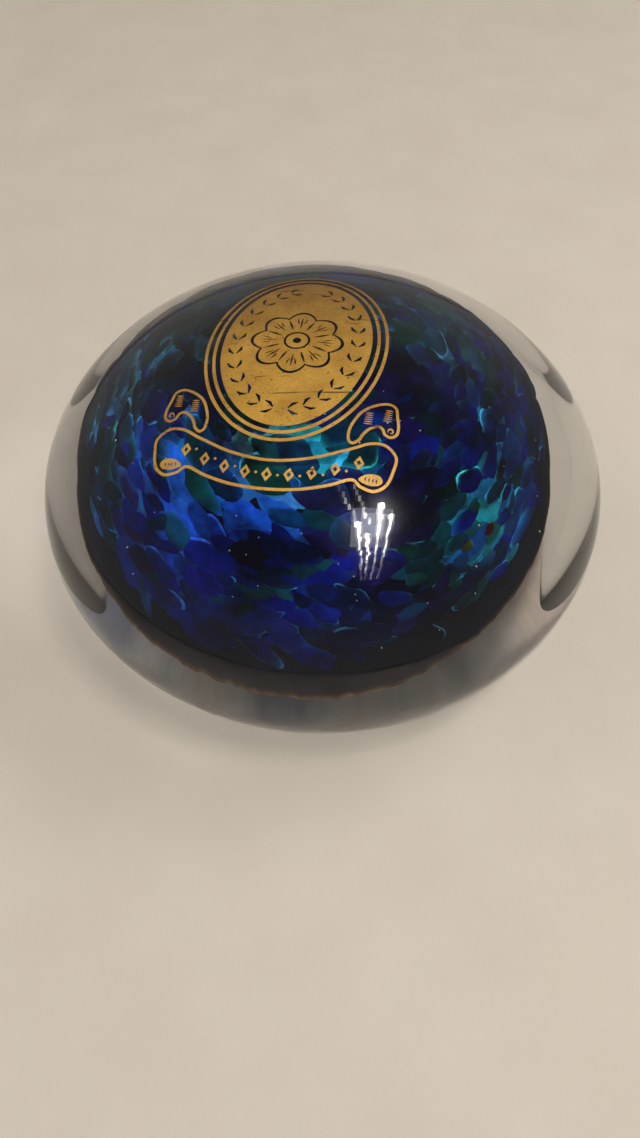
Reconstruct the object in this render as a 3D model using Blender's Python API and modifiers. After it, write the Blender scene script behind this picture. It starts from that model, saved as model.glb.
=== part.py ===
"""A studio-glass dome paperweight, in metres, +Z up.

The weight stands on the plane z = 0 and its outside turns round the Z axis. From the outside in it is a
gilt transfer, a clear casing, a layer of coloured glass chips, a cup of dark opaque glass called the
ground, and a clear core that fills the cup and reaches the foot. As in any hand-made weight, what is
inside sits a little off the axis. In the real weight the glass layers are fused. Here a thin gap parts
them, so that each is a body of its own.
"""

import math
import random

import bmesh
import bpy
from mathutils import Matrix, Vector

MM = 0.001

# Driving dimensions
WIDEST_RADIUS = 40 * MM
DOME_FLATNESS = 0.596  # half-height of the spheroid over its radius
CUT_SHARE = 0.38  # depth of the foot under the widest level, over the radius
FOOT_BEVEL = 0.5 * MM
GAP = 0.3 * MM  # between any two layers
FRIT_RADIUS_SHARE = 0.70  # radius of the coloured layer, over the casing's
FRIT_HEIGHT_SHARE = 0.76  # height of the coloured dome over its own centre, over the casing's radius
FRIT_CENTRE_SHARE = 0.13  # height of that centre above the foot, over the casing's radius
FRIT_AXIS = Vector((-0.8 * MM, 3.4 * MM))  # where the upright axis of everything inside the casing stands
CHIP_THICKNESS = 1.2 * MM
GROUND_THICKNESS = 1.6 * MM
RIM_RAGGEDNESS = 0.7 * MM
CHIP_COUNT = 28
CHIP_GAP = 0.42 * MM
CHIPS_LOWEST = math.radians(86.5)  # angle from the top at which the chips end, short of the ground's rim
FILM_THICKNESS = 0.15 * MM

# Places worked out from them
HALF_HEIGHT = WIDEST_RADIUS * DOME_FLATNESS
WIDEST_Z = WIDEST_RADIUS * CUT_SHARE
FRIT_RADIUS = WIDEST_RADIUS * FRIT_RADIUS_SHARE
FRIT_HEIGHT = WIDEST_RADIUS * FRIT_HEIGHT_SHARE
FRIT_CENTRE_Z = WIDEST_RADIUS * FRIT_CENTRE_SHARE
GROUND_INSET = CHIP_THICKNESS + GAP
CORE_INSET = GROUND_INSET + GROUND_THICKNESS + GAP

# Chip colours by place: x and y over the casing's radius, and the colour of the chips nearest to them
COLOUR_ZONES = [
    (-0.17, -0.29, "turquoise"), (0.06, -0.20, "turquoise"), (0.41, 0.26, "turquoise"),
    (-0.48, -0.22, "cobalt"), (-0.05, -0.45, "cobalt"), (0.10, 0.55, "cobalt"), (0.55, 0.00, "cobalt"),
    (-0.54, 0.15, "teal"), (0.46, -0.32, "teal"), (0.20, 0.30, "teal"), (-0.30, 0.60, "teal"),
    (-0.07, -0.65, "navy"), (-0.35, -0.56, "navy"), (0.33, -0.56, "navy"), (-0.20, 0.15, "navy"),
    (0.45, 0.55, "navy"), (0.20, -0.05, "violet"), (-0.50, 0.45, "violet"), (0.22, -0.40, "violet"),
]

# The transfer's own layout, in its plane: x across, y up, origin at the medallion's middle
TRANSFER_CENTRE = Vector((-3.1 * MM, 1.3 * MM))
TRANSFER_TURN = math.radians(-9.8)
OUTER_RING_SIZE = (11.6 * MM, 16.1 * MM)  # half-width and half-height
RING_STEP = 1.05 * MM  # from one ring to the next, and on to the field
LINE_WIDTH = 0.42 * MM
ROSETTE_RADIUS = 5.6 * MM
ROSETTE_PETALS = 8
ROSETTE_DEPTH = 0.2  # how deep the notches between petals are, over the radius
BANNER_HALF = [  # right half of the banner's outline, from the middle of its top to that of its bottom
    (0.0, -18.35), (4.6, -17.6), (8.8, -15.8), (11.2, -14.5), (13.2, -14.3), (14.7, -15.6), (14.6, -17.5),
    (14.0, -19.4), (12.6, -20.5), (10.9, -20.3), (9.8, -19.7), (7.4, -20.8), (4.0, -21.8), (0.0, -22.15),
]
CURL = [(10.6, -19.3), (11.6, -18.5), (12.9, -18.4), (13.4, -19.0), (12.9, -19.6), (11.7, -19.75)]
TAIL = [
    (9.3, -15.15), (8.6, -14.7), (8.48, -13.3), (8.95, -11.7), (9.8, -10.2), (11.3, -9.0), (12.8, -8.45),
    (13.85, -8.9), (14.2, -10.2), (14.5, -11.7), (14.35, -12.8), (13.6, -13.4), (12.75, -13.15),
    (12.35, -12.45), (11.8, -12.3), (10.95, -12.95), (10.4, -13.8), (10.1, -14.5),
]
LOZENGE_COUNT = 9
LOZENGE_SPAN = 10.4 * MM  # from the banner's middle to its last ornament
LOZENGE_HALF = (0.62 * MM, 0.85 * MM)
BANNER_MIDDLE_Y = -20.25 * MM
BANNER_RISE = 4.15 * MM  # how far the banner's middle line has risen at the next distance
BANNER_RISE_AT = 12.4 * MM

# Fineness of the meshes
TURNED_STEPS = 48
CHIP_SIDES = 14
FILM_CELL = 4 * MM
RING_STEPS = 44
SPLINE_STEPS = 3


def new_collection(name):
    """An empty collection, linked to the scene."""
    collection = bpy.data.collections.new(name)
    bpy.context.scene.collection.children.link(collection)
    return collection


def new_material(name, colour, roughness, metallic=0.0, transmission=0.0):
    """A Principled material of one plain finish."""
    material = bpy.data.materials.new(name)
    material.use_nodes = True
    shader = material.node_tree.nodes["Principled BSDF"]
    shader.inputs["Base Color"].default_value = (*colour, 1)
    shader.inputs["Roughness"].default_value = roughness
    shader.inputs["Metallic"].default_value = metallic
    shader.inputs["Transmission Weight"].default_value = transmission
    shader.inputs["IOR"].default_value = 1.5
    return material


def add_object(name, mesh, material, collection):
    """An object for this mesh, smooth where its faces meet at a low angle."""
    mesh.materials.append(material)
    mesh.shade_smooth()
    mesh.set_sharp_from_angle(angle=math.radians(35))
    obj = bpy.data.objects.new(name, mesh)
    collection.objects.link(obj)
    return obj


def mesh_from(name, form):
    """The bmesh as mesh data, with the bmesh freed."""
    mesh = bpy.data.meshes.new(name)
    form.to_mesh(mesh)
    form.free()
    return mesh


def arc_points(radius, height, centre_z, start, end, steps):
    """Points (r, z) down an ellipse, by the angle from its top."""
    angles = [start + (end - start) * i / steps for i in range(steps + 1)]
    return [(radius * math.sin(a), centre_z + height * math.cos(a)) for a in angles]


def ring(form, radius, level, axis):
    """A level circle of points round an axis, or one point where the radius is nothing."""
    if radius < 0.001 * MM:
        return [form.verts.new((axis.x, axis.y, level))]
    points = []
    for k in range(TURNED_STEPS):
        turn = 2 * math.pi * k / TURNED_STEPS
        x = axis.x + radius * math.cos(turn)
        y = axis.y + radius * math.sin(turn)
        points.append(form.verts.new((x, y, level)))
    return points


def turned(name, sections, material, collection):
    """A solid made of circles, from one point on an axis to another. A section is (radius, level, axis)."""
    form = bmesh.new()
    rings = [ring(form, *section) for section in sections]
    for first, second in zip(rings, rings[1:]):
        for k in range(TURNED_STEPS):
            after = (k + 1) % TURNED_STEPS
            corners = [first[k % len(first)], first[after % len(first)]]
            corners += [second[after % len(second)], second[k % len(second)]]
            form.faces.new(dict.fromkeys(corners))
    bmesh.ops.recalc_face_normals(form, faces=form.faces[:])
    return add_object(name, mesh_from(name, form), material, collection)


def round_axis(profile, axis):
    """Sections for the points (r, z) of a profile, all round one axis."""
    return [(radius, level, axis) for radius, level in profile]


def angle_at(level, height, centre_z):
    """The angle from an ellipse's top at which it passes this level."""
    return math.acos((level - centre_z) / height)


def clear_casing(material, collection):
    """The outer gather: a flattened dome with a flat foot, hollow for the layers inside it."""
    foot_angle = angle_at(FOOT_BEVEL, HALF_HEIGHT, WIDEST_Z)
    upper = arc_points(WIDEST_RADIUS, HALF_HEIGHT, WIDEST_Z, 0, math.pi / 2, 12)
    lower = arc_points(WIDEST_RADIUS, HALF_HEIGHT, WIDEST_Z, math.pi / 2, foot_angle, 5)
    outside = upper + lower[1:]
    foot_edge = (outside[-1][0] - 1.5 * FOOT_BEVEL, 0)
    neck_radius = FRIT_RADIUS - CORE_INSET + GAP
    neck_height = FRIT_HEIGHT - CORE_INSET + GAP
    ledge_z = FRIT_CENTRE_Z - RIM_RAGGEDNESS - 2 * GAP
    mouth_angle = angle_at(0, neck_height, FRIT_CENTRE_Z)
    ledge_angle = angle_at(ledge_z, neck_height, FRIT_CENTRE_Z)
    neck = arc_points(neck_radius, neck_height, FRIT_CENTRE_Z, mouth_angle, ledge_angle, 3)
    hollow_radius = FRIT_RADIUS + GAP
    hollow_height = FRIT_HEIGHT + GAP
    hollow = arc_points(hollow_radius, hollow_height, FRIT_CENTRE_Z, math.pi / 2, 0, 10)
    ledge = (hollow_radius, ledge_z)
    sections = round_axis(outside + [foot_edge], Vector((0, 0)))
    sections += round_axis(neck + [ledge] + hollow, FRIT_AXIS)
    return turned("clear_casing", sections, material, collection)


def core_gather(material, collection):
    """The first gather: a clear spheroid that fills the ground's cup and ends at the foot."""
    radius = FRIT_RADIUS - CORE_INSET
    height = FRIT_HEIGHT - CORE_INSET
    foot_angle = angle_at(FOOT_BEVEL, height, FRIT_CENTRE_Z)
    side = arc_points(radius, height, FRIT_CENTRE_Z, 0, foot_angle, 10)
    foot_edge = (side[-1][0] - FOOT_BEVEL, 0)
    return turned("core_gather", round_axis(side + [foot_edge, (0, 0)], FRIT_AXIS), material, collection)


def raggedness(angle):
    """A wave between -1 and 1 round the rim, as molten glass leaves it."""
    return 0.5 * math.sin(5 * angle + 0.4) + 0.3 * math.sin(11 * angle + 1.9) + 0.2 * math.sin(17 * angle)


def dark_ground(material, collection):
    """The opaque cup: a half spheroid, open below, with a ragged rim."""
    form = bmesh.new()
    bmesh.ops.create_uvsphere(form, u_segments=TURNED_STEPS, v_segments=16, radius=1)
    everything = form.verts[:] + form.edges[:] + form.faces[:]
    bmesh.ops.bisect_plane(
        form, geom=everything, dist=1e-5, plane_co=(0, 0, 0), plane_no=(0, 0, -1), clear_outer=True
    )
    radius = FRIT_RADIUS - GROUND_INSET
    height = FRIT_HEIGHT - GROUND_INSET
    for vert in form.verts:
        on_rim = vert.co.z < 1e-4
        angle = math.atan2(vert.co.y, vert.co.x)
        across = FRIT_AXIS + vert.co.xy * radius
        vert.co = Vector((across.x, across.y, FRIT_CENTRE_Z + vert.co.z * height))
        if on_rim:
            vert.co.z += RIM_RAGGEDNESS * raggedness(angle)
    obj = add_object("dark_ground", mesh_from("dark_ground", form), material, collection)
    wall = obj.modifiers.new("Wall", "SOLIDIFY")
    wall.thickness = GROUND_THICKNESS
    wall.offset = -1
    return obj


def chip_seeds():
    """Middles of the chips, spread evenly over the dome on a sunflower spiral and then shifted a little.

    They are points of a flat map of the dome, its stereographic projection, in which a chip keeps its shape.
    """
    shift = random.Random(7)
    seeds = []
    for k in range(CHIP_COUNT):
        drop = (k + 0.5) / CHIP_COUNT * (1 - math.cos(CHIPS_LOWEST))
        tilt = math.acos(1 - drop) + shift.uniform(-0.05, 0.05)
        turn = k * math.pi * (3 - math.sqrt(5)) + shift.uniform(-0.12, 0.12)
        reach = 2 * math.tan(abs(tilt) / 2)
        seeds.append(Vector((reach * math.cos(turn), reach * math.sin(turn))))
    return seeds


def chip_reach(seed, others, direction):
    """How far the chip reaches from its middle before it meets a neighbour or the layer's lower edge."""
    scale = (1 + seed.length_squared / 4) / FRIT_RADIUS
    half_gap = CHIP_GAP / 2 * scale
    along = seed.dot(direction)
    rim = 2 * math.tan(CHIPS_LOWEST / 2)
    rim *= 1 + 0.02 * raggedness(math.atan2(seed.y, seed.x) + 3 * along)
    reach = math.sqrt(along**2 - seed.length_squared + rim**2) - along
    for other in others:
        away = other - seed
        facing = away.normalized().dot(direction)
        if facing > 0:
            reach = min(reach, (away.length / 2 - half_gap) / facing)
    return reach


def on_frit(point):
    """The place on the coloured dome of a point of the flat map."""
    tilt = 2 * math.atan(point.length / 2)
    turn = math.atan2(point.y, point.x)
    across = FRIT_AXIS + Vector((math.cos(turn), math.sin(turn))) * FRIT_RADIUS * math.sin(tilt)
    return Vector((across.x, across.y, FRIT_CENTRE_Z + FRIT_HEIGHT * math.cos(tilt)))


def zone_colour(place):
    """The colour of the zone whose middle is nearest to this place."""
    spot = place.xy / WIDEST_RADIUS
    return min(COLOUR_ZONES, key=lambda zone: (Vector(zone[:2]) - spot).length)[2]


def glass_chip(name, seed, others, material, collection):
    """One flake of coloured glass, bent to the dome, that fills the space between its neighbours."""
    form = bmesh.new()
    bmesh.ops.create_circle(form, cap_ends=True, cap_tris=True, segments=CHIP_SIDES, radius=1)
    bmesh.ops.subdivide_edges(form, edges=form.edges[:], cuts=1, use_grid_fill=True)
    bmesh.ops.triangulate(form, faces=form.faces[:])
    for vert in form.verts:
        share = round(2 * vert.co.length) / 2  # 0 at the middle, a half on the inner ring, 1 at the edge
        if share > 0:
            direction = vert.co.xy.normalized()
            vert.co = on_frit(seed + direction * chip_reach(seed, others, direction) * share)
        else:
            vert.co = on_frit(seed)
    obj = add_object(name, mesh_from(name, form), material, collection)
    wall = obj.modifiers.new("Flake", "SOLIDIFY")
    wall.thickness = CHIP_THICKNESS
    wall.offset = -1
    return obj


def frit_layer(collection):
    """All the chips, in the colours of the layer."""
    colours = {
        "cobalt": new_material("cobalt_glass", (0.01, 0.03, 0.42), 0.12),
        "navy": new_material("navy_glass", (0.005, 0.01, 0.09), 0.12),
        "teal": new_material("teal_glass", (0.01, 0.12, 0.18), 0.12),
        "turquoise": new_material("turquoise_glass", (0.03, 0.42, 0.55), 0.12),
        "violet": new_material("violet_glass", (0.05, 0.02, 0.22), 0.12),
    }
    seeds = chip_seeds()
    for number, seed in enumerate(seeds, start=1):
        colour = zone_colour(on_frit(seed))
        others = [other for other in seeds if other is not seed]
        glass_chip(f"{colour}_chip_{number:02d}", seed, others, colours[colour], collection)


def oval(size, steps=RING_STEPS):
    """A closed line of points round an ellipse of this half-width and half-height."""
    turns = [2 * math.pi * i / steps for i in range(steps)]
    return [Vector((size[0] * math.cos(t), size[1] * math.sin(t))) for t in turns]


def rosette_line(radius):
    """A closed line round a flower of round petals."""
    steps = ROSETTE_PETALS * 6
    line = []
    for i in range(steps):
        turn = 2 * math.pi * i / steps
        petal = abs(math.cos(ROSETTE_PETALS * turn / 2))
        reach = radius * (1 - ROSETTE_DEPTH * (1 - petal))
        line.append(Vector((reach * math.sin(turn), reach * math.cos(turn))))
    return line


def smooth_loop(points_mm):
    """A closed Catmull-Rom curve through these points."""
    points = [Vector(point) * MM for point in points_mm]
    line = []
    for i, start in enumerate(points):
        before = points[i - 1]
        end = points[(i + 1) % len(points)]
        after = points[(i + 2) % len(points)]
        for k in range(SPLINE_STEPS):
            t = k / SPLINE_STEPS
            bend = 2 * before - 5 * start + 4 * end - after
            twist = 3 * start - before - 3 * end + after
            line.append(start + ((end - before) * t + bend * t**2 + twist * t**3) / 2)
    return line


def inset_loop(line, distance):
    """The same closed line moved to the side by this distance: inwards if the line runs clockwise."""
    moved = []
    for i, point in enumerate(line):
        run = (line[(i + 1) % len(line)] - line[i - 1]).normalized()
        moved.append(point + Vector((run.y, -run.x)) * distance)
    return moved


def mirrored(points_mm):
    """The same points on the other side of the transfer's upright axis, in the opposite order."""
    return [(-x, y) for x, y in reversed(points_mm)]


def on_casing(point, lift):
    """The place over the dome of a point of the transfer, at this height above the glass."""
    spot = TRANSFER_CENTRE + Matrix.Rotation(TRANSFER_TURN, 2) @ point
    share = spot.length / (WIDEST_RADIUS + lift)
    height = WIDEST_Z + (HALF_HEIGHT + lift) * math.sqrt(1 - share**2)
    return Vector((spot.x, spot.y, height))


def gilt_film(name, lines, material, collection):
    """An island of gold film, bounded by closed lines, that follows the dome."""
    form = bmesh.new()
    for line in lines:
        corners = [form.verts.new((point.x, point.y, 0)) for point in line]
        for first, second in zip(corners, corners[1:] + corners[:1]):
            form.edges.new((first, second))
    bmesh.ops.triangle_fill(form, edges=form.edges[:], use_beauty=True, normal=(0, 0, 1))
    reach = math.ceil(max(max(abs(v.co.x), abs(v.co.y)) for v in form.verts) / FILM_CELL)
    for step in range(-reach, reach + 1):
        for across in (Vector((1, 0, 0)), Vector((0, 1, 0))):
            everything = form.verts[:] + form.edges[:] + form.faces[:]
            middle = across * (step + 0.37) * FILM_CELL
            bmesh.ops.bisect_plane(form, geom=everything, dist=0.05 * MM, plane_co=middle, plane_no=across)
    bmesh.ops.triangulate(form, faces=form.faces[:])
    for vert in form.verts:
        vert.co = on_casing(vert.co.xy, GAP)
    form.normal_update()
    bmesh.ops.reverse_faces(form, faces=[face for face in form.faces if face.normal.z < 0])
    obj = add_object(name, mesh_from(name, form), material, collection)
    film = obj.modifiers.new("Film", "SOLIDIFY")
    film.thickness = FILM_THICKNESS
    film.offset = 1
    return obj


def transfer(material, collection):
    """The gilt transfer on top of the glass: a ringed medallion with a rosette, over a scrolled ribbon."""
    outer_width, outer_height = OUTER_RING_SIZE
    for name, step in (("outer_ring", 0), ("inner_ring", RING_STEP)):
        outside = oval((outer_width - step, outer_height - step))
        inside = oval((outer_width - step - LINE_WIDTH, outer_height - step - LINE_WIDTH))
        gilt_film(name, [outside, inside], material, collection)
    field = oval((outer_width - 2 * RING_STEP, outer_height - 2 * RING_STEP))
    opening = rosette_line(ROSETTE_RADIUS + LINE_WIDTH)
    gilt_film("medallion_field", [field, opening], material, collection)
    gilt_film("rosette", [rosette_line(ROSETTE_RADIUS)], material, collection)

    banner = smooth_loop(BANNER_HALF + mirrored(BANNER_HALF)[1:-1])
    gilt_film("ribbon_outline", [banner, inset_loop(banner, LINE_WIDTH)], material, collection)
    for side, shape_of in (("right", list), ("left", mirrored)):
        curl = smooth_loop(shape_of(CURL))
        gilt_film(f"{side}_ribbon_curl", [curl], material, collection)
        tail = smooth_loop(shape_of(TAIL))
        gilt_film(f"{side}_ribbon_tail", [tail, inset_loop(tail, LINE_WIDTH)], material, collection)

    half_width, half_height = LOZENGE_HALF
    for number in range(LOZENGE_COUNT):
        x = LOZENGE_SPAN * (2 * number / (LOZENGE_COUNT - 1) - 1)
        middle = Vector((x, BANNER_MIDDLE_Y + BANNER_RISE * (x / BANNER_RISE_AT) ** 2))
        corners = [(half_width, 0), (0, half_height), (-half_width, 0), (0, -half_height)]
        lozenge = [middle + Vector(corner) for corner in corners]
        gilt_film(f"ribbon_lozenge_{number + 1}", [lozenge], material, collection)


def main():
    for obj in list(bpy.data.objects):
        bpy.data.objects.remove(obj, do_unlink=True)
    bpy.context.scene.unit_settings.scale_length = 1
    weight = new_collection("paperweight")
    clear_glass = new_material("clear_glass", (1, 1, 1), 0.02, transmission=1)
    clear_casing(clear_glass, weight)
    core_gather(clear_glass, weight)
    dark_ground(new_material("dark_glass", (0.005, 0.008, 0.04), 0.2), weight)
    frit_layer(weight)
    transfer(new_material("gilt", (0.62, 0.40, 0.12), 0.38, metallic=0.8), weight)


main()
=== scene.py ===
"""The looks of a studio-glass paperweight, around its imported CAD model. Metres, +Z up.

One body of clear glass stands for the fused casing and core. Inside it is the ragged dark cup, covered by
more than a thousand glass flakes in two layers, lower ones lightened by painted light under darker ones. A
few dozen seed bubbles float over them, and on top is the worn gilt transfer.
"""

import math
import random

import bmesh
import bpy
from mathutils import Matrix, Vector, noise


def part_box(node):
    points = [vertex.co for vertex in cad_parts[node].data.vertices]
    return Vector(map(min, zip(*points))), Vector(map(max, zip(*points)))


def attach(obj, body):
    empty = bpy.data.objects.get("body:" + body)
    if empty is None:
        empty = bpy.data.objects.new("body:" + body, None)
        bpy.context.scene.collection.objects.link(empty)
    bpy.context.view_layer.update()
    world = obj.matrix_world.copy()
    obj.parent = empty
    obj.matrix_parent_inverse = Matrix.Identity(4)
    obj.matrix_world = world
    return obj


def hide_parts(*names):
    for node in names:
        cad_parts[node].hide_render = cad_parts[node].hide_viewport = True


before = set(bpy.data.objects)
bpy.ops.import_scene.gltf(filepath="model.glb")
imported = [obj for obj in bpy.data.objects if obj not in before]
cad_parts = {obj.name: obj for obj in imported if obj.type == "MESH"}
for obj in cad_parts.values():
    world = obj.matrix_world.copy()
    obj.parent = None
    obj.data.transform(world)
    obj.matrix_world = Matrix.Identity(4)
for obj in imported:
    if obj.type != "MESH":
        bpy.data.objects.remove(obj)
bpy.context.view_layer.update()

MM = 0.001
BODY = "root"

# The frame's own sizes
casing_low, casing_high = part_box("clear_casing")
RADIUS = (casing_high.x - casing_low.x) / 2
HALF_HEIGHT = 0.596 * RADIUS  # of the casing's spheroid
WIDEST_Z = casing_high.z - HALF_HEIGHT
ground_low, ground_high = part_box("dark_ground")
GROUND_INSET = 1.5 * MM  # from the frit's spheroid to the ground's, in the CAD
FRIT_RADIUS = (ground_high.x - ground_low.x) / 2 + GROUND_INSET
FRIT_CENTRE = Vector((
    (ground_low.x + ground_high.x) / 2,
    (ground_low.y + ground_high.y) / 2,
    0.13 * RADIUS,
))
FRIT_HEIGHT = ground_high.z + GROUND_INSET - FRIT_CENTRE.z
SIDE_PINCH = 0.9 * MM  # how much narrower the frit is at its left and right

# Camera: how it looks at the middle of the widest level
CAMERA_DISTANCE = 3.17 * RADIUS
CAMERA_ELEVATION = math.radians(54)
CAMERA_ROLL = math.radians(-0.5)
CAMERA_ASIDE = 0.008 * RADIUS  # how far the object lies to the right of the view's middle
CAMERA_ABOVE = 0.348 * RADIUS  # and above it
CAMERA_LENS = 27.08  # mm, on a sensor 36 mm tall

random.seed(11)


# ---------------------------------------------------------------- materials


def set_stops(node, stops):
    """Gives a colour ramp node these stops, each a position with a grey value or a colour."""
    elements = node.color_ramp.elements
    while len(elements) < len(stops):
        elements.new(0.5)
    for element, (position, colour) in zip(elements, stops):
        element.position = position
        grey = isinstance(colour, (int, float))
        element.color = (colour, colour, colour, 1) if grey else (*colour, 1)


class Surface:
    """A material with one Principled shader, and short ways to add nodes to it."""

    def __init__(self, name, **sockets):
        self.material = bpy.data.materials.new(name)
        self.material.use_nodes = True
        self.tree = self.material.node_tree
        self.shader = self.tree.nodes["Principled BSDF"]
        for socket, value in sockets.items():
            self.shader.inputs[socket.replace("_", " ")].default_value = value
        self.place = self.add("ShaderNodeTexCoord").outputs["Object"]

    def add(self, kind, **settings):
        node = self.tree.nodes.new(kind)
        for name, value in settings.items():
            setattr(node, name, value)
        return node

    def link(self, source, target):
        self.tree.links.new(source, target)

    def noise(self, scale, detail=4.0, roughness=0.55, stretch=None):
        """A noise texture's value, its scale in features per metre."""
        node = self.add("ShaderNodeTexNoise")
        node.inputs["Scale"].default_value = scale
        node.inputs["Detail"].default_value = detail
        node.inputs["Roughness"].default_value = roughness
        self.link(self.stretched(stretch) if stretch else self.place, node.inputs["Vector"])
        return node.outputs["Fac"]

    def stretched(self, scale):
        """The object's coordinates, scaled."""
        node = self.add("ShaderNodeMapping")
        node.inputs["Scale"].default_value = scale
        self.link(self.place, node.inputs["Vector"])
        return node.outputs["Vector"]

    def ramp(self, source, *stops):
        """A colour ramp over source."""
        node = self.add("ShaderNodeValToRGB")
        set_stops(node, stops)
        self.link(source, node.inputs["Fac"])
        return node.outputs["Color"]

    def mix(self, blend, share, first, second):
        """Two colours mixed. Each of the three is a socket or a plain value."""
        node = self.add("ShaderNodeMix", data_type="RGBA", blend_type=blend)
        for socket, value in ((node.inputs[0], share), (node.inputs[6], first), (node.inputs[7], second)):
            if isinstance(value, bpy.types.NodeSocket):
                self.link(value, socket)
            elif isinstance(value, (int, float)):
                socket.default_value = value
            else:
                socket.default_value = (*value, 1)
        return node.outputs[2]

    def bump(self, height, strength, distance):
        node = self.add("ShaderNodeBump")
        node.inputs["Strength"].default_value = strength
        node.inputs["Distance"].default_value = distance
        self.link(height, node.inputs["Height"])
        self.link(node.outputs["Normal"], self.shader.inputs["Normal"])

    def feed(self, socket, source):
        self.link(source, self.shader.inputs[socket])


def clear_glass():
    """Polished glass with faint ripples and smears, that lets lamps through to what is inside it."""
    glass = Surface("clear_glass", Base_Color=(1, 1, 1, 1), IOR=1.5, Transmission_Weight=1.0,
                    Coat_Weight=0.12, Coat_Roughness=0.17)
    smear = glass.ramp(glass.noise(160, detail=6, stretch=(1, 0.35, 1)), (0.5, 0.0), (0.8, 0.03))
    glass.feed("Roughness", smear)
    glass.bump(glass.noise(70, detail=1), 0.25, 0.12 * MM)
    light_path = glass.add("ShaderNodeLightPath")
    clear = glass.add("ShaderNodeBsdfTransparent")
    clear.inputs["Color"].default_value = (0.82, 0.83, 0.83, 1)
    either = glass.add("ShaderNodeMixShader")
    glass.link(light_path.outputs["Is Shadow Ray"], either.inputs[0])
    glass.link(glass.shader.outputs[0], either.inputs[1])
    glass.link(clear.outputs[0], either.inputs[2])
    glass.link(either.outputs[0], glass.tree.nodes["Material Output"].inputs["Surface"])
    return glass.material


def foot_glass():
    """The underside, ground flat and left matt."""
    foot = Surface("ground_foot", Roughness=0.7, Specular_IOR_Level=0.2)
    fine = foot.ramp(foot.noise(700, detail=6), (0.3, 0.82), (0.7, 1.0))
    slate = (0.20, 0.21, 0.27)
    grey = (0.52, 0.50, 0.47)
    buff = (0.60, 0.50, 0.42)
    broad = foot.ramp(foot.noise(55, detail=2), (0.38, slate), (0.50, grey), (0.62, buff))
    foot.feed("Base Color", foot.mix("MULTIPLY", 1.0, fine, broad))
    foot.bump(foot.noise(4000, detail=3), 0.3, 0.05 * MM)
    return foot.material


def ground_glass():
    """Near-black navy glass. Its thin rim burns out to brown."""
    ground = Surface("dark_glass", Roughness=0.6, Specular_IOR_Level=0.0)
    rim = ground.add("ShaderNodeAttribute", attribute_name="rim").outputs["Fac"]
    body = ground.ramp(ground.noise(300), (0.35, (0.002, 0.002, 0.004)), (0.75, (0.004, 0.006, 0.016)))
    burnt = ground.ramp(ground.noise(900), (0.3, (0.06, 0.025, 0.008)), (0.8, (0.22, 0.12, 0.05)))
    ground.feed("Base Color", ground.mix("MIX", rim, body, burnt))
    ground.bump(ground.noise(500, detail=2), 0.3, 0.1 * MM)
    return ground.material


def flake_glass():
    """The flakes' glass: it carries each flake's colours, painted light included, clouded and streaked like
    melted frit.
    """
    flakes = Surface("frit_glass", Roughness=0.5, Specular_IOR_Level=0.0)
    tint = flakes.add("ShaderNodeAttribute", attribute_name="tint").outputs["Color"]
    thread = flakes.add("ShaderNodeAttribute", attribute_name="thread").outputs["Color"]
    share = flakes.add("ShaderNodeAttribute", attribute_name="share").outputs["Fac"]
    cloud = flakes.ramp(flakes.noise(420, detail=6, roughness=0.6), (0.3, 0.4), (0.72, 1.0))
    # Dark stretches that run across many flakes
    depth = flakes.ramp(flakes.noise(120, detail=4, stretch=(0.7, 1.2, 1.2)), (0.37, 0.12), (0.60, 1.0))
    tinted = flakes.mix("MULTIPLY", 1.0, flakes.mix("MULTIPLY", 1.0, tint, cloud), depth)
    # A thin pale line round the edge, broken here and there, brighter with painted light near the pools
    line = flakes.ramp(share, (0.84, 0.0), (0.93, 1.0))
    broken = flakes.ramp(flakes.noise(500, detail=3), (0.40, 0.15), (0.60, 1.0))
    flakes.feed("Base Color", flakes.mix("ADD", flakes.mix("MULTIPLY", 1.0, line, broken), tinted, thread))
    flakes.bump(flakes.noise(700), 0.2, 0.1 * MM)
    return flakes.material


def gilt():
    """Satin gold film with pinholes, fine scratches and a browner bloom, and painted shade that makes it
    darker towards the back.
    """
    gold = Surface("gilt", Metallic=0.4)
    bloom = gold.ramp(gold.noise(260, detail=5), (0.3, (0.41, 0.210, 0.032)), (0.7, (0.60, 0.345, 0.060)))
    grain = gold.ramp(gold.noise(5200, detail=2), (0.3, 0.72), (0.6, 1.0))
    # Painted shade: the gold is darkened towards the back, where it reflects the dim room above
    backward = gold.add("ShaderNodeSeparateXYZ")
    gold.link(gold.stretched((50, 50, 50)), backward.inputs[0])  # so that 1 on the ramp is 20 mm back
    half_painted_shade = (0.74, 0.70, 0.74)
    full_painted_shade = (0.50, 0.42, 0.46)
    painted_shade = gold.ramp(backward.outputs["Y"], (0.0, 1.0), (0.45, half_painted_shade), (0.85, full_painted_shade))
    colour = gold.mix("MULTIPLY", 1.0, gold.mix("MULTIPLY", 1.0, bloom, grain), painted_shade)
    pinholes = gold.ramp(gold.noise(3000, detail=1), (0.70, 0.0), (0.73, 1.0))
    scratches = gold.ramp(gold.noise(900, detail=2, stretch=(0.12, 1.9, 1)), (0.70, 0.0), (0.72, 0.8))
    worn = gold.mix("LIGHTEN", 1.0, pinholes, scratches)
    gold.feed("Base Color", gold.mix("MIX", worn, colour, (0.03, 0.02, 0.01)))
    gold.feed("Roughness", gold.ramp(gold.noise(1500, detail=3), (0.3, 0.34), (0.7, 0.52)))
    gold.bump(gold.noise(6000, detail=2), 0.2, 0.03 * MM)
    return gold.material


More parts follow.
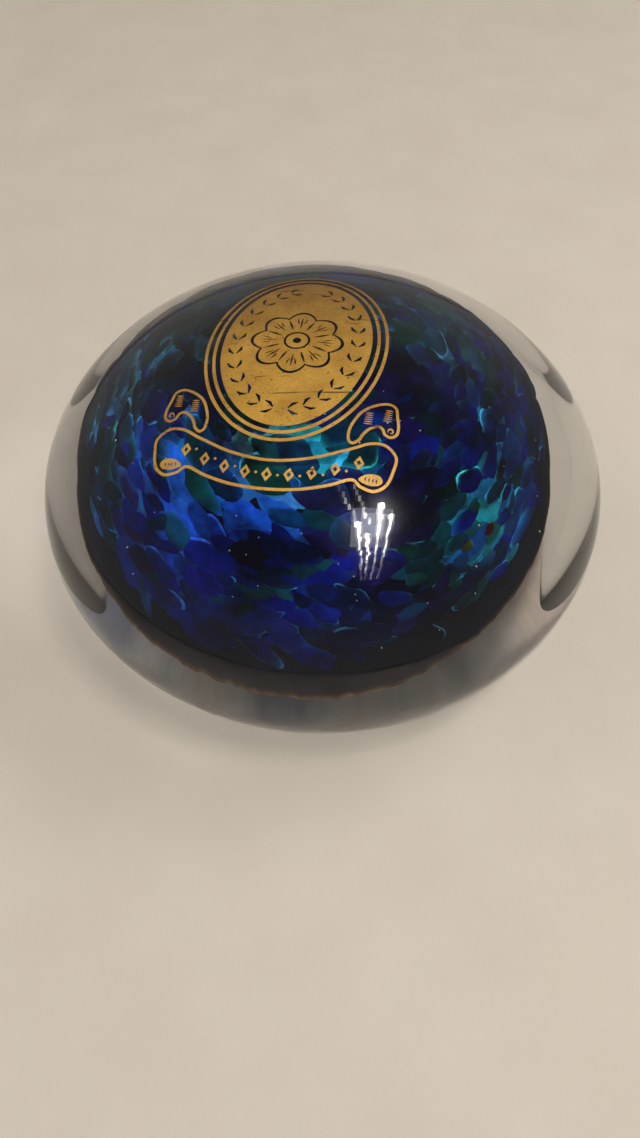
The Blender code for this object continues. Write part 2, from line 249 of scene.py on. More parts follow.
def pale_floor():
    """Warm off-white paper."""
    floor = Surface("pale_floor", Specular_IOR_Level=0.2)
    paper = floor.ramp(floor.noise(60, detail=8), (0.3, (0.60, 0.54, 0.46)), (0.7, (0.64, 0.58, 0.50)))
    floor.feed("Base Color", paper)
    floor.feed("Roughness", floor.ramp(floor.noise(400), (0.3, 0.6), (0.7, 0.75)))
    floor.bump(floor.noise(2500, detail=6), 0.15, 0.1 * MM)
    return floor.material


# ---------------------------------------------------------------- meshes


def finished(name, mesh, material, nodes):
    """A piece of the object for this mesh, in place of these CAD nodes."""
    mesh.materials.append(material)
    mesh.shade_smooth()
    mesh.set_sharp_from_angle(angle=math.radians(40))
    piece = bpy.data.objects.new(name, mesh)
    bpy.context.scene.collection.objects.link(piece)
    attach(piece, BODY)
    if nodes:
        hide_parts(*nodes)
    return piece


def mesh_from(name, form):
    mesh = bpy.data.meshes.new(name)
    form.to_mesh(mesh)
    form.free()
    return mesh


def arc(radius, height, centre_z, start, end, steps):
    """Points (r, z) along an ellipse, by the angle from its top."""
    angles = [start + (end - start) * i / steps for i in range(steps + 1)]
    return [(radius * math.sin(a), centre_z + height * math.cos(a)) for a in angles]


def turned(profile, steps):
    """A solid turned round Z from a profile that starts and ends on the axis."""
    form = bmesh.new()
    points = [form.verts.new((max(r, 0), 0, z)) for r, z in profile]
    for first, second in zip(points, points[1:]):
        form.edges.new((first, second))
    bmesh.ops.spin(
        form, geom=form.verts[:] + form.edges[:], axis=(0, 0, 1), cent=(0, 0, 0),
        steps=steps, angle=2 * math.pi, use_merge=True,
    )
    bmesh.ops.remove_doubles(form, verts=form.verts[:], dist=0.001 * MM)
    bmesh.ops.recalc_face_normals(form, faces=form.faces[:])
    return form


def glass_body(material, foot):
    """The clear glass as one solid: a flattened dome on a flat, bevelled foot with a matt ring."""
    bevel = 0.5 * MM
    ring_outside = 0.61 * RADIUS
    ring_inside = 0.30 * RADIUS
    foot_angle = math.acos((bevel - WIDEST_Z) / HALF_HEIGHT)
    side = arc(RADIUS, HALF_HEIGHT, WIDEST_Z, 0, foot_angle, 110)
    edge_radius = side[-1][0]
    # The bevel is rounded: steep at first, and level where it meets the foot
    shares = (0.3, 0.7, 1.0)
    rounding = [(edge_radius - bevel * (0.35 + 0.9 * t), 0.6 * bevel * (1 - t) ** 2) for t in shares]
    form = turned(side + rounding + [(ring_outside, 0), (ring_inside, 0), (0, 0)], 256)
    for face in form.faces:
        middle = face.calc_center_median()
        on_foot = middle.z < 0.01 * MM
        face.material_index = int(on_foot and ring_inside < middle.length < ring_outside)
    mesh = mesh_from("clear_glass", form)
    piece = finished("clear_glass", mesh, material, ("clear_casing", "core_gather"))
    piece.data.materials.append(foot)


def ragged(angle):
    """How high the cup's rim ends at this angle, from about -1, where the glass ran far down, to 1."""
    around = Vector((math.cos(angle), math.sin(angle), 0))
    broad = noise.noise(around * 2.1)
    fine = noise.noise(around * 11 + Vector((5, 0, 0)))
    finest = noise.noise(around * 34 + Vector((0, 7, 0)))
    return 0.25 * broad + 0.45 * fine + 0.25 * finest


def pointing(tilt, turn):
    """The direction at this angle from straight up, turned round Z."""
    return Vector((math.sin(tilt) * math.cos(turn), math.sin(tilt) * math.sin(turn), math.cos(tilt)))


def dome_place(direction, lift):
    """The place over the frit's spheroid in this direction of its unit sphere, at this height above it.

    The spheroid is a little narrower at its left and right than at its front and back.
    """
    backward = direction.xy.normalized().y if direction.xy.length > 0 else 0
    frontness = max(0, -backward) ** 4
    backness = min(1, 3 * max(0, backward))
    reach = FRIT_RADIUS + lift - SIDE_PINCH * (1 - max(frontness, backness))
    height = FRIT_HEIGHT + lift
    return FRIT_CENTRE + Vector((direction.x * reach, direction.y * reach, direction.z * height))


def ground_cup(material):
    """The dark cup, a half spheroid whose thin rim hangs ragged and is burnt at its edge."""
    depth = -1.0 * MM  # its outside, under the frit's
    wall_thickness = 1.3 * MM
    hem = 0.7 * MM  # how far it reaches below the frit's widest level
    raggedness = 0.6 * MM
    burnt_width = 0.3 * MM
    flare_start = 0.88  # the share of the way down from which the rim turns out to the frit's surface
    rows = 48
    columns = 480
    form = bmesh.new()
    burnt = form.verts.layers.float.new("rim")
    rings = []
    for row in range(1, rows + 1):
        share = 1 - (1 - row / rows) ** 1.6  # the rows lie closer together near the rim
        ring = []
        for column in range(columns):
            turn = 2 * math.pi * column / columns
            lowest = math.acos((raggedness * ragged(turn) - hem) / FRIT_HEIGHT)
            flare = max(0, 1 - (1 - share) / (1 - flare_start))
            vert = form.verts.new(dome_place(pointing(lowest * share, turn), depth * (1 - 0.9 * flare)))
            vert[burnt] = max(0, 1 - (1 - share) * lowest * FRIT_RADIUS / burnt_width)
            ring.append(vert)
        rings.append(ring)
    top = form.verts.new(dome_place(Vector((0, 0, 1)), depth))
    for column in range(columns):
        following = (column + 1) % columns
        form.faces.new((top, rings[0][column], rings[0][following]))
        for upper, lower in zip(rings, rings[1:]):
            form.faces.new((upper[column], lower[column], lower[following], upper[following]))
    mesh = mesh_from("dark_ground_cup", form)
    piece = finished("dark_ground_cup", mesh, material, ("dark_ground",))
    wall = piece.modifiers.new("Wall", "SOLIDIFY")
    wall.thickness = wall_thickness
    wall.offset = -1


# The thick glass of a flake, by colour
FLAKE_BODIES = {
    "cobalt": (0.002, 0.007, 0.150),
    "navy": (0.001, 0.003, 0.030),
    "teal": (0.001, 0.022, 0.034),
    "turquoise": (0.002, 0.040, 0.085),
    "violet": (0.006, 0.004, 0.070),
}
# Painted light: pools of lamp light, focused by the dome onto the flakes and painted into their colours.
# For
# each: where it is and how far it spreads, both over the casing's radius, and its colour
PAINTED_LIGHT_POOLS = [
    (-0.23, -0.24, 0.05, (0.30, 0.85, 0.92)),
    (-0.18, -0.27, 0.08, (0.02, 0.35, 0.90)),
    (-0.05, -0.25, 0.09, (0.02, 0.75, 0.85)),
    (0.08, -0.27, 0.08, (0.02, 0.50, 0.60)),
    (-0.27, -0.36, 0.10, (0.005, 0.05, 0.95)),
    (-0.13, -0.35, 0.07, (0.04, 0.25, 0.90)),
    (-0.12, -0.38, 0.10, (0.005, 0.06, 0.80)),
    (0.10, -0.37, 0.10, (0.01, 0.10, 0.35)),
    (-0.40, -0.31, 0.12, (0.01, 0.10, 0.80)),
    (-0.42, -0.12, 0.14, (0.01, 0.10, 0.35)),
    (-0.58, -0.20, 0.10, (0.01, 0.10, 0.45)),
    (-0.60, 0.10, 0.16, (0.03, 0.22, 0.40)),
    (-0.52, 0.30, 0.18, (0.06, 0.26, 0.40)),
    (-0.35, 0.12, 0.12, (0.02, 0.12, 0.30)),
    (-0.12, 0.62, 0.20, (0.03, 0.12, 0.22)),
    (0.43, -0.31, 0.10, (0.01, 0.40, 0.55)),
    (0.52, -0.18, 0.12, (0.01, 0.22, 0.38)),
    (0.41, 0.18, 0.12, (0.06, 0.22, 0.32)),
    (0.25, 0.13, 0.10, (0.02, 0.16, 0.24)),
    (0.50, 0.01, 0.12, (0.02, 0.14, 0.28)),
    (0.22, 0.42, 0.24, (0.03, 0.13, 0.24)),
    (-0.07, -0.56, 0.10, (0.005, 0.03, 0.08)),
    (-0.18, -0.60, 0.08, (0.01, 0.07, 0.10)),
]
# Added evenly everywhere, under the pools
EVEN_GLOW = (0.002, 0.020, 0.055)
# Single flakes of odd colours: place over the casing's radius, and colour
STRAYS = ((0.50, -0.32, (0.28, 0.01, 0.02)), (0.43, -0.39, (0.16, 0.20, 0.03)))


def added(first, second, share):
    """A colour with a share of another added to it, kept short of white."""
    return tuple(min(0.95, a + b * share) for a, b in zip(first, second))


def painted_light_at(place):
    """The colour of the painted light here: the even part with the pools added to it."""
    total = EVEN_GLOW
    for x, y, spread, colour in PAINTED_LIGHT_POOLS:
        away = (Vector((place.x, place.y)) / RADIUS - Vector((x, y))).length
        total = added(total, colour, math.exp(-((away / spread) ** 2)))
    return total


class FlakeHeap:
    """The flakes that lie nearest to one CAD chip, gathered into one mesh."""

    def __init__(self, node):
        low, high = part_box(node)
        self.node = node
        self.colour = node.split("_")[0]
        self.middle = (low + high) / 2
        self.points = []
        self.faces = []
        self.tints = []
        self.threads = []
        self.shares = []

    def add_point(self, place, tint, thread, share):
        self.points.append(place)
        self.tints.append(tint)
        self.threads.append(thread)
        self.shares.append(share)

    def build(self, material):
        mesh = bpy.data.meshes.new(self.node)
        mesh.from_pydata(self.points, [], self.faces)
        for name, values in (("tint", self.tints), ("thread", self.threads)):
            layer = mesh.attributes.new(name, "FLOAT_COLOR", "POINT")
            layer.data.foreach_set("color", [part for colour in values for part in (*colour, 1)])
        share = mesh.attributes.new("share", "FLOAT", "POINT")
        share.data.foreach_set("value", self.shares)
        name = self.node.replace("_chip_", "_flakes_")
        finished(name, mesh, material, (self.node,))


FLAKE_RINGS = (0.35, 0.65, 0.86, 1.0)  # each ring's share of the way from a flake's middle to its edge
FLAKE_SIDES = 24
FLAKE_THICKNESS = 0.3 * MM
FLAKE_TUCK = 0.12 * MM  # how far the edge is pressed into the glass below


def add_flake(heap, direction, length, width, lift, body, edge, thread, feather):
    """One flake: a thin pillow with a wavy outline, bent to the dome, closed underneath.

    Length and width are half-sizes over the frit's radius. The body's colour turns to the edge's towards
    one side of the flake, later when feather is high, and a thread of light follows the rim on that side.
    """
    across = direction.cross(Vector((0, 0, 1))).normalized()
    upward = across.cross(direction)
    lean = random.gauss(0.15, 0.35)
    along = across * math.cos(lean) + upward * math.sin(lean)
    beside = upward * math.cos(lean) - across * math.sin(lean)
    waves = [(k, random.uniform(0, 0.35 / k), random.uniform(0, 2 * math.pi)) for k in (2, 3, 4, 5, 7)]
    bright_side = random.uniform(0, 2 * math.pi)
    first = len(heap.points)
    heap.add_point(dome_place(direction, lift + FLAKE_THICKNESS), body, (0, 0, 0), 0)
    for share in FLAKE_RINGS:
        for k in range(FLAKE_SIDES):
            turn = 2 * math.pi * k / FLAKE_SIDES
            reach = share * (1 + sum(size * math.sin(n * turn + phase) for n, size, phase in waves))
            spot = direction + (along * math.cos(turn) * length + beside * math.sin(turn) * width) * reach
            height = lift + FLAKE_THICKNESS * (1 - share**2) - FLAKE_TUCK * share**6
            facing = max(0, math.cos(turn - bright_side) * 0.7 + 0.3)
            thin = max(0, (share - 0.3) / 0.7) ** feather * facing
            tint = tuple(a + (b - a) * thin for a, b in zip(body, edge))
            rim = tuple(part * facing for part in thread)
            heap.add_point(dome_place(spot.normalized(), height), tint, rim, share)
    for k in range(FLAKE_SIDES):
        after = (k + 1) % FLAKE_SIDES
        heap.faces.append((first, first + 1 + k, first + 1 + after))
        for ring in range(len(FLAKE_RINGS) - 1):
            inner = first + 1 + ring * FLAKE_SIDES
            outer = inner + FLAKE_SIDES
            heap.faces.append((inner + k, outer + k, outer + after, inner + after))
    last = first + 1 + (len(FLAKE_RINGS) - 1) * FLAKE_SIDES
    heap.faces.append(tuple(last + k for k in reversed(range(FLAKE_SIDES))))


def scattered(count, lowest):
    """Directions spread evenly over the dome from its top down to this tilt, each shifted a little."""
    golden_angle = math.pi * (3 - math.sqrt(5))
    spacing = math.sqrt(2 * math.pi * (1 - math.cos(lowest)) / count)
    shift = 0.3 * spacing
    for k in range(count):
        tilt = math.acos(1 - (k + 0.5) / count * (1 - math.cos(lowest)))
        tilt = max(0.02, tilt + random.gauss(0, shift))
        turn = k * golden_angle + random.gauss(0, shift) / math.sin(tilt)
        yield pointing(min(tilt, lowest), turn)


def nearest(heaps, direction):
    """The heap whose CAD chip lies nearest to this direction's place on the frit."""
    place = dome_place(direction, 0)
    return min(heaps, key=lambda heap: (heap.middle - place).length)


def frit(material):
    """Two layers of flakes, lower ones lightened by painted light under darker ones, in one piece for each
    CAD chip.
    """
    heaps = [FlakeHeap(node) for node in sorted(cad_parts) if "_chip_" in node]
    layers = (
        # count, lowest tilt, half-lengths and heights over the dome in mm, and whether it is the dark layer
        (620, math.radians(82), (2.6, 4.4), (-0.75, -0.5), False),
        (1000, math.radians(83), (1.8, 3.8), (-0.45, -0.05), True),
    )
    for count, lowest, sizes, heights, dark in layers:
        for direction in scattered(count, lowest):
            heap = nearest(heaps, direction)
            name = heap.colour if random.random() < 0.6 else random.choice(list(FLAKE_BODIES))
            # Painted light: the pools lighten each flake's body, edge and thread colours here
            painted_light = tuple(part * random.uniform(0.75, 1.25) for part in painted_light_at(dome_place(direction, 0)))
            bare = random.random() < min(0.92, 1.3 * max(painted_light) - 0.35)  # dark flakes are left out where the painted light is strong
            if dark and bare:
                continue
            body = tuple(part * random.uniform(0.5, 1.4) for part in FLAKE_BODIES[name])
            if dark:
                body = added(body, painted_light, random.choice((0, 0, 0.03, 0.12)))
                edge = added(body, painted_light, random.uniform(0.1, 1.0))
                thread = added((0.025, 0.085, 0.13), painted_light, 1.2)
            else:
                body = added(body, painted_light, random.uniform(0.3, 1.0))
                edge = added(body, painted_light, random.uniform(0.2, 1.0))
                thread = added((0.01, 0.04, 0.06), painted_light, 0.8)
            if random.random() < 0.55:
                thread = (0, 0, 0)
            length = random.uniform(*sizes) * MM / FRIT_RADIUS
            width = length * random.uniform(0.42, 0.75) * (0.6 + 0.4 * direction.z)
            lift = random.uniform(*heights) * MM
            feather = random.choice((1.5, 3, 6))
            add_flake(heap, direction, length, width, lift, body, edge, thread, feather)
    for x, y, colour in STRAYS:
        across = (Vector((x, y)) * RADIUS - FRIT_CENTRE.xy) / FRIT_RADIUS
        direction = Vector((*across, math.sqrt(1 - across.length_squared))).normalized()
        body = tuple(part * 0.15 for part in colour)
        add_flake(nearest(heaps, direction), direction, 0.034, 0.020, 0.0, body, colour, (0, 0, 0), 1.2)
    for heap in heaps:
        heap.build(material)


SEED_BUBBLES = 40


def seed_bubbles():
    """Tiny pale bubbles caught in the clear glass just over the frit."""
    pale = Surface("seed_bubble", Roughness=0.3)
    pale.feed("Base Color", pale.ramp(pale.noise(2000), (0.3, 0.35), (0.7, 0.65)))
    form = bmesh.new()
    for _ in range(SEED_BUBBLES):
        tilt = math.acos(random.uniform(0.15, 0.95))
        turn = math.radians(random.uniform(190, 350))
        middle = dome_place(pointing(tilt, turn), random.uniform(0.4, 2.5) * MM)
        size = random.choice((0.05, 0.05, 0.07, 0.10)) * MM
        squash = Matrix.Diagonal((size, size, size * random.uniform(0.6, 1.4), 1))
        squashed_there = Matrix.Translation(middle) @ squash
        bmesh.ops.create_icosphere(form, subdivisions=2, radius=1, matrix=squashed_there)
    finished("seed_bubbles", mesh_from("seed_bubbles", form), pale.material, ())


# ---------------------------------------------------------------- the gilt transfer

TRANSFER_CENTRE = Vector((-3.1 * MM, 1.3 * MM))
TRANSFER_TURN = math.radians(-9.8)
FILM_LIFT = 0.03 * MM
FILM_THICKNESS = 0.03 * MM
FILM_CELL = 1.0 * MM  # the film is cut this finely, so that it follows the dome
OUTER_RING_SIZE = (11.6 * MM, 16.1 * MM)  # half-width and half-height
RING_STEP = 1.05 * MM  # from one ring's outside to the next one's
LINE_WIDTH = 0.42 * MM
RIBBON_LINE = 0.34 * MM
FINE_LINE = 0.2 * MM
ROSETTE_RADIUS = 5.6 * MM
ROSETTE_PETALS = 8
ROSETTE_DEPTH = 0.2  # of the notches between petals, as a share of the radius
WREATH_SIZE = (7.7, 11.6)  # mm, half-width and half-height
WREATH_PAIRS = 26  # pairs of leaves, if the wreath were closed at the top
ORNAMENT_REACH = 10.4 * MM  # from the ribbon's middle to its last lozenge
LOZENGE_SIZE = (0.62, 0.85)  # mm, half-width and half-height
LOZENGE_OPENING = 0.42  # the share of a lozenge that is open
BEAD_OFFSET = 1.3 * MM  # from a lozenge to the bead after it
BEAD_RADIUS = 0.16 * MM


def on_casing(point, lift):
    """The place over the glass of a point of the transfer."""
    spot = TRANSFER_CENTRE + Matrix.Rotation(TRANSFER_TURN, 2) @ point
    share = spot.length / (RADIUS + lift)
    height = WIDEST_Z + (HALF_HEIGHT + lift) * math.sqrt(1 - share**2)
    return Vector((spot.x, spot.y, height))


def oval(size, steps=160):
    turns = [2 * math.pi * i / steps for i in range(steps)]
    return [Vector((size[0] * math.cos(t), size[1] * math.sin(t))) for t in turns]


def rosette_line(radius):
    """The closed outline of a flower with rounded petals."""
    steps = ROSETTE_PETALS * 20
    line = []
    for i in range(steps):
        turn = 2 * math.pi * i / steps
        petal = abs(math.cos(ROSETTE_PETALS * turn / 2))
        reach = radius * (1 - ROSETTE_DEPTH * (1 - petal))
        line.append(Vector((reach * math.sin(turn), reach * math.cos(turn))))
    return line


def smooth(points_mm, closed=True, steps=8):
    """A Catmull-Rom curve through these points, in millimetres."""
    points = [Vector(point) * MM for point in points_mm]
    count = len(points)
    line = []
    for i in range(count if closed else count - 1):
        start = points[i]
        end = points[(i + 1) % count]
        before = points[i - 1] if closed or i > 0 else start
        after = points[(i + 2) % count] if closed or i + 2 < count else end
        for k in range(steps):
            t = k / steps
            bend = 2 * before - 5 * start + 4 * end - after
            twist = 3 * start - before - 3 * end + after
            line.append(start + ((end - before) * t + bend * t**2 + twist * t**3) / 2)
    if not closed:
        line.append(points[-1])
    return line


def inset(line, distance):
    """A closed clockwise line moved inwards by this distance."""
    moved = []
    for i, point in enumerate(line):
        run = (line[(i + 1) % len(line)] - line[i - 1]).normalized()
        moved.append(point + Vector((run.y, -run.x)) * distance)
    return moved


def stroke(line, width):
    """The outline of a brush stroke along an open line, thin at both ends."""
    left, right = [], []
    last = len(line) - 1
    for i, point in enumerate(line):
        run = (line[min(i + 1, last)] - line[max(i - 1, 0)]).normalized()
        half = width / 2 * (0.35 + 0.65 * math.sin(math.pi * i / last))
        left.append(point + Vector((-run.y, run.x)) * half)
        right.append(point - Vector((-run.y, run.x)) * half)
    return left + right[::-1]


def mirrored(points_mm):
    """An outline on the other side, in the same sense of rotation."""
    return [(-x, y) for x, y in reversed(points_mm)]


def film(name, lines, material, nodes):
    """A piece of gold film bounded by closed lines. A line inside another is a gap in it."""
    form = bmesh.new()
    for line in lines:
        corners = [form.verts.new((point.x, point.y, 0)) for point in line]
        for first, second in zip(corners, corners[1:] + corners[:1]):
            form.edges.new((first, second))
    bmesh.ops.triangle_fill(form, edges=form.edges[:], use_beauty=True, normal=(0, 0, 1))
    reach = math.ceil(max(max(abs(v.co.x), abs(v.co.y)) for v in form.verts) / FILM_CELL)
    for step in range(-reach, reach + 1):
        for across in (Vector((1, 0, 0)), Vector((0, 1, 0))):
            everything = form.verts[:] + form.edges[:] + form.faces[:]
            middle = across * (step + 0.37) * FILM_CELL
            bmesh.ops.bisect_plane(form, geom=everything, dist=0.01 * MM, plane_co=middle, plane_no=across)
    bmesh.ops.triangulate(form, faces=form.faces[:])
    raised = bmesh.ops.extrude_face_region(form, geom=form.faces[:], use_keep_orig=True)["geom"]
    top = {item for item in raised if isinstance(item, bmesh.types.BMVert)}
    for vert in form.verts:
        vert.co = on_casing(vert.co.xy, FILM_LIFT + (FILM_THICKNESS if vert in top else 0))
    bmesh.ops.recalc_face_normals(form, faces=form.faces[:])
    finished(name, mesh_from(name, form), material, nodes)


# The right half of the ribbon, in millimetres from the transfer's centre
BANNER_HALF = [
    (0.0, -18.35), (4.6, -17.6), (8.8, -15.8), (11.2, -14.5), (13.2, -14.3), (14.7, -15.6), (14.6, -17.5),
    (14.0, -19.4), (12.6, -20.5), (10.9, -20.3), (9.8, -19.7), (7.4, -20.8), (4.0, -21.8), (0.0, -22.15),
]
CURL = [(10.6, -19.3), (11.6, -18.5), (12.9, -18.4), (13.4, -19.0), (12.9, -19.6), (11.7, -19.75)]
TAIL = [
    (9.3, -15.15), (8.6, -14.7), (8.48, -13.3), (8.95, -11.7), (9.8, -10.2), (11.3, -9.0), (12.8, -8.45),
    (13.85, -8.9), (14.2, -10.2), (14.5, -11.7), (14.35, -12.8), (13.6, -13.4), (12.75, -13.15),
    (12.35, -12.45), (11.8, -12.3), (10.95, -12.95), (10.4, -13.8), (10.1, -14.5),
]
TAIL_ROLL = [
    (13.15, -12.65), (13.2, -12.25), (13.5, -12.1), (13.75, -12.35), (13.65, -12.65), (13.45, -12.6),
]


def curl_folds(sign):
    """The short lines on a rolled end of the ribbon, on its right (1) or left (-1)."""
    folds = []
    for x in (11.5, 11.95, 12.4, 12.8):
        line = ((x, -18.85), (x - 0.15, -19.1), (x - 0.1, -19.4))
        folds.append(stroke([Vector((sign * along, up)) * MM for along, up in line], FINE_LINE))
    return folds


def tail_hatches(sign):
    """Two blocks of short lines that shade a tail of the ribbon, on its right (1) or left (-1)."""
    spacing = 0.31
    hatches = []
    for x, y in ((10.3, -10.5), (12.55, -9.6)):
        for k in range(6):
            start = Vector((sign * (x - 0.03 * k), y - spacing * k)) * MM
            end = Vector((sign * (x + 0.85), y + 0.1 - spacing * k)) * MM
            hatches.append(stroke([start, (start + end) / 2, end], 0.8 * FINE_LINE))
    return hatches


def ribbon(material):
    """The scrolled banner, its curls and tails with their hatching, and the row of ornaments on it."""
    banner = smooth(BANNER_HALF + mirrored(BANNER_HALF)[1:-1])
    film("ribbon_outline_film", [banner, inset(banner, RIBBON_LINE)], material, ("ribbon_outline",))
    for side, shape_of, sign in (("right", list, 1), ("left", mirrored, -1)):
        curl = smooth(shape_of(CURL))
        film(f"{side}_curl_film", [curl] + curl_folds(sign), material, (f"{side}_ribbon_curl",))
        tail = smooth(shape_of(TAIL))
        roll = stroke(smooth([(sign * x, y) for x, y in TAIL_ROLL], closed=False), FINE_LINE)
        lines = [tail, inset(tail, RIBBON_LINE), roll] + tail_hatches(sign)
        film(f"{side}_tail_film", lines, material, (f"{side}_ribbon_tail",))
    ornaments(material)


def ornaments(material):
    """A row of open lozenges with beads between them, along the middle of the banner's arc."""
    half_width, half_height = LOZENGE_SIZE
    corners = [(half_width, 0), (0, half_height), (-half_width, 0), (0, -half_height)]
    lozenges = sorted(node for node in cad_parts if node.startswith("ribbon_lozenge_"))
    for number, node in enumerate(lozenges):
        x = ORNAMENT_REACH * (2 * number / (len(lozenges) - 1) - 1)
        middle = Vector((x, -20.25 * MM + 4.15 * MM * (x / (12.4 * MM)) ** 2))
        outer = [middle + Vector(corner) * MM for corner in corners]
        inner = [middle + Vector(corner) * LOZENGE_OPENING * MM for corner in corners]
        bead_middle = middle + Vector((BEAD_OFFSET, 0))
        bead = [bead_middle + point for point in oval((BEAD_RADIUS, BEAD_RADIUS), 12)]
        beads = [bead] if number < len(lozenges) - 1 else []
        film(f"{node}_film", [outer, inner] + beads, material, (node,))


def wreath():
    """Pairs of leaves that grow up both sides of an oval, which is open at the top."""
    width, height = WREATH_SIZE
    leaves = []
    for k in range(1, WREATH_PAIRS - 1):
        turn = 2 * math.pi * (k + 0.5) / WREATH_PAIRS
        stem = Vector((width * MM * math.sin(turn), height * MM * math.cos(turn)))
        downward = Vector((width * math.cos(turn), -height * math.sin(turn))).normalized()
        if stem.x < 0:
            downward = -downward
        aside = Vector((downward.y, -downward.x))
        for side in (-1, 1):
            root = stem + aside * side * 0.12 * MM
            tip = stem + (downward * -1.25 + aside * side * 0.85) * MM
            belly = (root + tip) / 2 + aside * side * 0.22 * MM
            leaves.append(stroke([root, belly, tip], 2.2 * FINE_LINE))
    return leaves


def petal_veins():
    """Three lines on each petal of the rosette, and one that runs in from each notch."""
    veins = []
    for k in range(ROSETTE_PETALS):
        turn = 2 * math.pi * k / ROSETTE_PETALS
        notch_turn = turn + math.pi / ROSETTE_PETALS
        out = Vector((math.sin(turn), math.cos(turn)))
        notch = Vector((math.sin(notch_turn), math.cos(notch_turn)))
        aside = Vector((out.y, -out.x))
        veins.append(stroke([out * reach * MM for reach in (2.5, 3.6, 4.7)], 1.2 * FINE_LINE))
        veins.append(stroke([notch * reach * MM for reach in (2.3, 3.2, 4.3)], 1.6 * FINE_LINE))
        for side in (-1, 1):
            bend = ((3.3, 0.25), (3.9, 0.5), (4.5, 0.6))
            line = [out * reach * MM + aside * side * push * MM for reach, push in bend]
            veins.append(stroke(line, FINE_LINE))
    return veins


def medallion(material):
    """Two oval rings round a field with a wreath and a rosette in it."""
    width, height = OUTER_RING_SIZE
    for name, step in (("outer_ring", 0), ("inner_ring", RING_STEP)):
        outside = oval((width - step, height - step))
        inside = oval((width - step - LINE_WIDTH, height - step - LINE_WIDTH))
        film(f"{name}_film", [outside, inside], material, (name,))
    field = oval((width - 2 * RING_STEP, height - 2 * RING_STEP))
    opening = rosette_line(ROSETTE_RADIUS + LINE_WIDTH)
    film("medallion_field_film", [field, opening] + wreath(), material, ("medallion_field",))
    circles = ((1.7, 40), (1.4, 40), (0.55, 20))  # radius in mm, and steps
    heart = [oval((radius * MM, radius * MM), steps) for radius, steps in circles]
    film("rosette_film", [rosette_line(ROSETTE_RADIUS)] + petal_veins() + heart, material, ("rosette",))


# ---------------------------------------------------------------- stage


def put_lamp(data, place, target):
    """An object for this lamp, aimed at target and never seen through the glass."""
    lamp = bpy.data.objects.new(data.name, data)
    bpy.context.scene.collection.objects.link(lamp)
    lamp.location = place
    lamp.rotation_euler = (Vector(target) - Vector(place)).to_track_quat("-Z", "Y").to_euler()
    lamp.visible_transmission = False
    return lamp


def area_light(name, place, target, size, power, colour):
    data = bpy.data.lights.new(name, "AREA")
    data.shape = "RECTANGLE"
    data.size, data.size_y = size
    data.energy = power
    data.color = colour
    return put_lamp(data, place, target)


def paper_floor():
    """A wide sheet just under the foot."""
    mesh = bpy.data.meshes.new("floor")
    form = bmesh.new()
    bmesh.ops.create_grid(form, x_segments=8, y_segments=8, size=1.5)
    form.to_mesh(mesh)
    form.free()
    mesh.materials.append(pale_floor())
    floor = bpy.data.objects.new("floor", mesh)
    floor.location.z = -0.1 * MM
    bpy.context.scene.collection.objects.link(floor)


def room():
    """A world that is light low down and dim above."""
    world = bpy.data.worlds.new("studio")
    bpy.context.scene.world = world
    world.use_nodes = True
    tree = world.node_tree
    place = tree.nodes.new("ShaderNodeTexCoord")
    split = tree.nodes.new("ShaderNodeSeparateXYZ")
    ramp = tree.nodes.new("ShaderNodeValToRGB")
    low = (0.32, 0.30, 0.27)
    lower_middle = (0.26, 0.25, 0.23)
    upper_middle = (0.12, 0.12, 0.13)
    high = (0.06, 0.06, 0.07)
    set_stops(ramp, ((0.0, low), (0.40, lower_middle), (0.72, upper_middle), (1.0, high)))
    tree.links.new(place.outputs["Generated"], split.inputs[0])
    tree.links.new(split.outputs["Z"], ramp.inputs["Fac"])
    tree.links.new(ramp.outputs["Color"], tree.nodes["Background"].inputs["Color"])
    tree.nodes["Background"].inputs["Strength"].default_value = 1.0


STREAK_HEIGHT = 0.60


def streak_lamps():
    """Rows of small lamps overhead, which the dome reflects as bright streaks in a pale haze."""
    rows = (
        # the bright end, the faint end, the lamps along it, the first lamp's power, and how much of a
        # lamp's power the next one has
        ((0.107, -0.135), (0.142, -0.400), 14, 0.10, 0.70),
        ((0.142, -0.180), (0.159, -0.400), 12, 0.08, 0.70),
        ((0.171, -0.060), (0.182, -0.400), 17, 0.16, 0.74),
        ((0.207, -0.100), (0.214, -0.395), 15, 0.09, 0.72),
        ((0.107, -0.135), (0.045, 0.000), 7, 0.012, 0.7),
        ((0.138, -0.120), (0.089, 0.006), 7, 0.018, 0.7),
    )
    parts = (("core", 0.008, 1), ("halo", 0.024, 0.15))  # name, width, and share of the lamp's power
    for number, (start, end, count, power, share) in enumerate(rows, 1):
        for step in range(count):
            along = Vector(start).lerp(Vector(end), step / (count - 1))
            x = along.x + random.gauss(0, 0.002)
            energy = power * share**step * random.uniform(0.25, 1.6)
            place = (x, along.y, STREAK_HEIGHT)
            below = (x, along.y, 0)
            for part, width, part_share in parts:
                area_light(f"streak_{part}_{number}_{step + 1}", place, below, (width, 0.022),
                           energy * part_share, (1, 0.97, 0.92))
    for name, x, y, height, size, power in (
        ("wide_haze", 0.150, -0.15, 0.601, (0.13, 0.16), 0.13),
        ("narrow_haze", 0.155, -0.14, 0.602, (0.08, 0.10), 0.08),
    ):
        area_light(name, (x, y, height), (x, y, 0), size, power, (0.90, 0.92, 1))


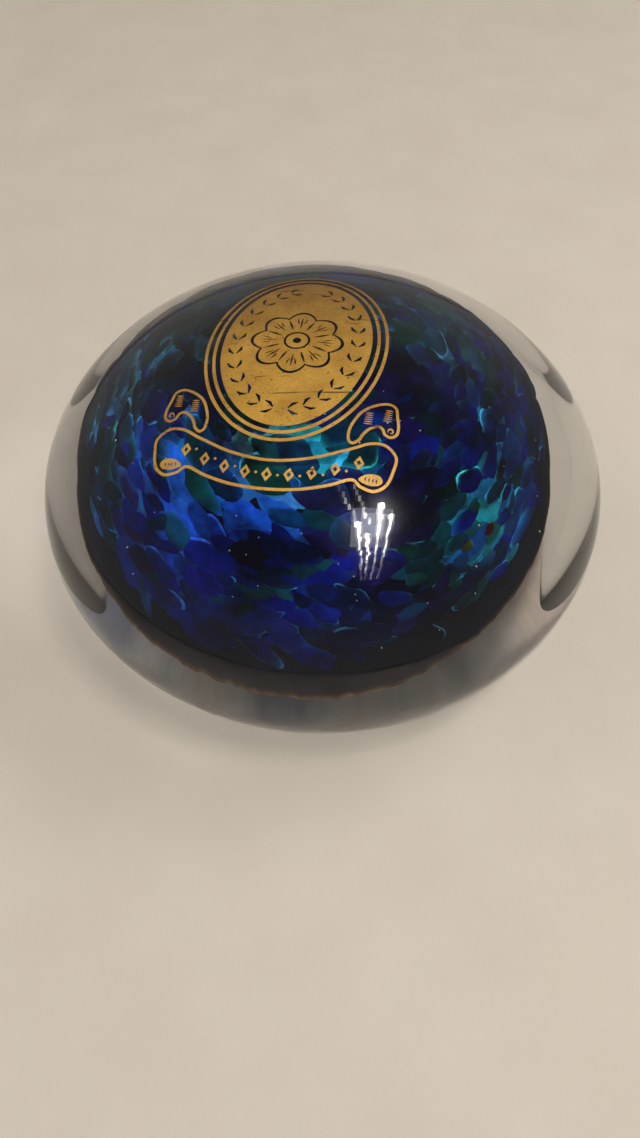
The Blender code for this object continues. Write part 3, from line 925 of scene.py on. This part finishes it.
def soft_lamps():
    """Wide warm lamps that the glass doesn't reflect."""
    lamps = (
        # name, place, size, power
        ("soft_key", (0.60, 0.30, 0.70), (0.35, 0.35), 2.6),
        ("near_lamp", (0.18, -0.15, 0.58), (0.16, 0.22), 0.50),
        ("soft_fill", (-0.1, -0.8, 0.35), (0.7, 0.3), 0.4),
        ("side_fill", (-0.6, 0.2, 0.45), (0.4, 0.3), 1.2),
    )
    for name, place, size, power in lamps:
        lamp = area_light(name, place, (0, 0, 0), size, power, (1, 0.94, 0.88))
        lamp.visible_glossy = False


def spot_lamps():
    """Narrow spots: three light the flakes by the ribbon, and one the left of the foot."""
    front = (0.04, -0.55, 0.45)
    spots = (
        # where it stands, the place it is aimed at, the cone in degrees, and the power
        (front, (-0.009, -0.010, 0.028), 1.5, 26),
        (front, (-0.006, -0.014, 0.027), 2.4, 34),
        (front, (0.003, -0.010, 0.028), 1.9, 18),
        ((-0.50, -0.05, 0.50), (-0.029, 0.006, 0.0), 2.4, 24),
    )
    for number, (place, target, cone, power) in enumerate(spots, 1):
        data = bpy.data.lights.new(f"spot_{number}", "SPOT")
        data.energy = power
        data.spot_size = math.radians(cone)
        data.spot_blend = 1.0
        data.shadow_soft_size = 0.02
        spot = put_lamp(data, place, target)
        spot.visible_glossy = False


def stage():
    """A pale floor, a plain room and its lamps."""
    paper_floor()
    room()
    streak_lamps()
    soft_lamps()
    spot_lamps()
    bpy.context.scene.view_settings.view_transform = "Standard"


def camera():
    """A close view from the front and above, with the weight a little above its middle."""
    forward = Vector((0, math.cos(CAMERA_ELEVATION), -math.sin(CAMERA_ELEVATION)))
    level = Vector((1, 0, 0))
    upright = level.cross(forward)
    right = level * math.cos(CAMERA_ROLL) + upright * math.sin(CAMERA_ROLL)
    up = upright * math.cos(CAMERA_ROLL) - level * math.sin(CAMERA_ROLL)
    middle = Vector((0, 0, WIDEST_Z))
    place = middle - forward * CAMERA_DISTANCE - right * CAMERA_ASIDE - up * CAMERA_ABOVE
    data = bpy.data.cameras.new("camera")
    data.lens = CAMERA_LENS
    data.clip_start = 0.005
    view = bpy.data.objects.new("camera", data)
    bpy.context.scene.collection.objects.link(view)
    matrix = Matrix((right, up, -forward)).transposed().to_4x4()
    matrix.translation = place
    view.matrix_world = matrix
    bpy.context.scene.camera = view


def main():
    camera()
    stage()
    glass_body(clear_glass(), foot_glass())
    ground_cup(ground_glass())
    frit(flake_glass())
    seed_bubbles()
    gold = gilt()
    medallion(gold)
    ribbon(gold)


main()
